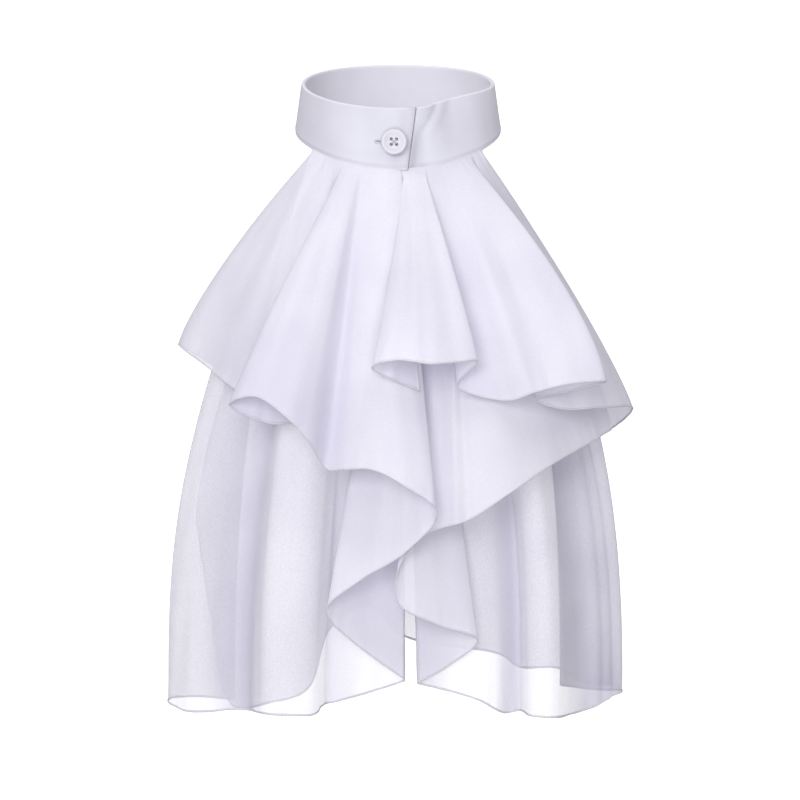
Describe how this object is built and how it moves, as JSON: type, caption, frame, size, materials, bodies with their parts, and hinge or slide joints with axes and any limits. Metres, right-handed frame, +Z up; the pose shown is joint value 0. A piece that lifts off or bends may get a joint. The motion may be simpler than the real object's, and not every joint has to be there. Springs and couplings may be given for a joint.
{
  "type": "jabot",
  "caption": "Detachable ruffled neckpiece: a buttoned stand neckband with a short upper flounce, zigzag cascades at the front slit and long lower flounces.",
  "frame": {"origin": "centre of the neckband, on the line of the neck", "axes": "+Z up along the neck, -Y the way the wearer faces, +X to the viewer's right (the wearer's left)"},
  "size_m": [0.2728, 0.189, 0.3787],
  "materials": {
    "band": "smooth white lining weave, interlined",
    "button": "white, half gloss",
    "thread": "white sewing thread",
    "chiffon": "sheer white chiffon with a fine crepe grain"
  },
  "bodies": {
    "root": {"neckband": "band", "button": "button", "button_thread": "thread", "left_ruffle": "chiffon", "right_ruffle": "chiffon", "right_cascade": "chiffon", "lower_ruffle_left": "chiffon", "lower_ruffle_right": "chiffon", "under_ruffle": "chiffon"}
  },
  "joints": []
}
